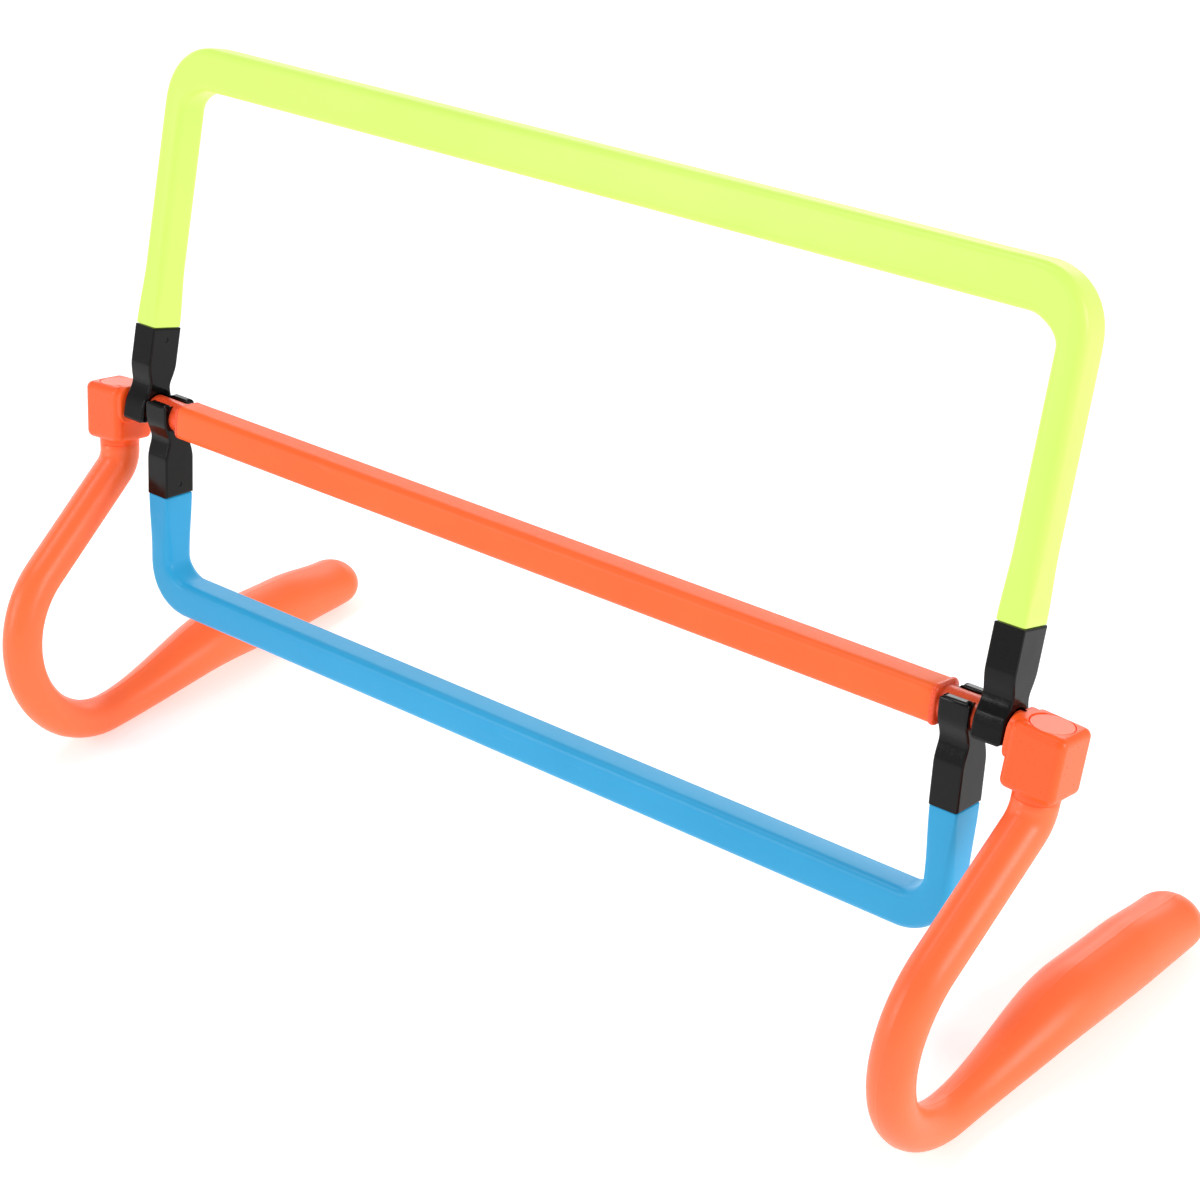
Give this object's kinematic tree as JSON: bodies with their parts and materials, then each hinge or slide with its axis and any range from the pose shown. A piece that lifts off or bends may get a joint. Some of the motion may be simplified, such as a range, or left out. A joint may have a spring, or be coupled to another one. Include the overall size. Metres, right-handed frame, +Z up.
{
  "type": "agility hurdle",
  "caption": "Low agility hurdle for pet training: a crossbar on two bent tube legs, with a tall and a low U-shaped frame that clip on and swing about it to change the jump height.",
  "frame": {"origin": "on the floor, under the middle of the footprint of the two feet", "axes": "+X along the crossbar, +Y to the rear, where the feet point, +Z up"},
  "size_m": [0.4822, 0.205, 0.2901],
  "materials": {
    "bar_orange": "satin moulded tube",
    "plug_orange": "smooth moulded",
    "block_orange": "smooth moulded",
    "leg_orange": "satin blow-moulded",
    "cap_orange": "smooth moulded",
    "tube_yellow": "satin, slightly translucent",
    "tube_blue": "satin",
    "clip_black": "polished moulded"
  },
  "bodies": {
    "bar": {"crossbar": "bar_orange", "end_plug_left": "plug_orange", "end_plug_right": "plug_orange"},
    "left_leg": {"leg_left": "leg_orange", "head_left": "block_orange", "top_cap_left": "cap_orange"},
    "right_leg": {"leg_right": "leg_orange", "head_right": "block_orange", "top_cap_right": "cap_orange"},
    "tall": {"tall_frame": "tube_yellow", "upper_clip_left": "clip_black", "upper_clip_right": "clip_black"},
    "low": {"low_frame": "tube_blue", "lower_clip_left": "clip_black", "lower_clip_right": "clip_black"}
  },
  "joints": [
    {"name": "left_leg_turn", "type": "hinge", "parent": "bar", "child": "left_leg", "pos_m": [-0.224, -0.021, 0.143], "axis": [1, 0, 0], "range_deg": [0, 25]},
    {"name": "right_leg_turn", "type": "hinge", "parent": "bar", "child": "right_leg", "pos_m": [0.224, -0.021, 0.143], "axis": [1, 0, 0], "range_deg": [0, 25]},
    {"name": "tall_frame_swing", "type": "hinge", "parent": "bar", "child": "tall", "pos_m": [0, -0.021, 0.143], "axis": [1, 0, 0], "range_deg": [-75, 90]},
    {"name": "low_frame_swing", "type": "hinge", "parent": "bar", "child": "low", "pos_m": [0, -0.021, 0.143], "axis": [1, 0, 0], "range_deg": [-90, 190]}
  ]
}
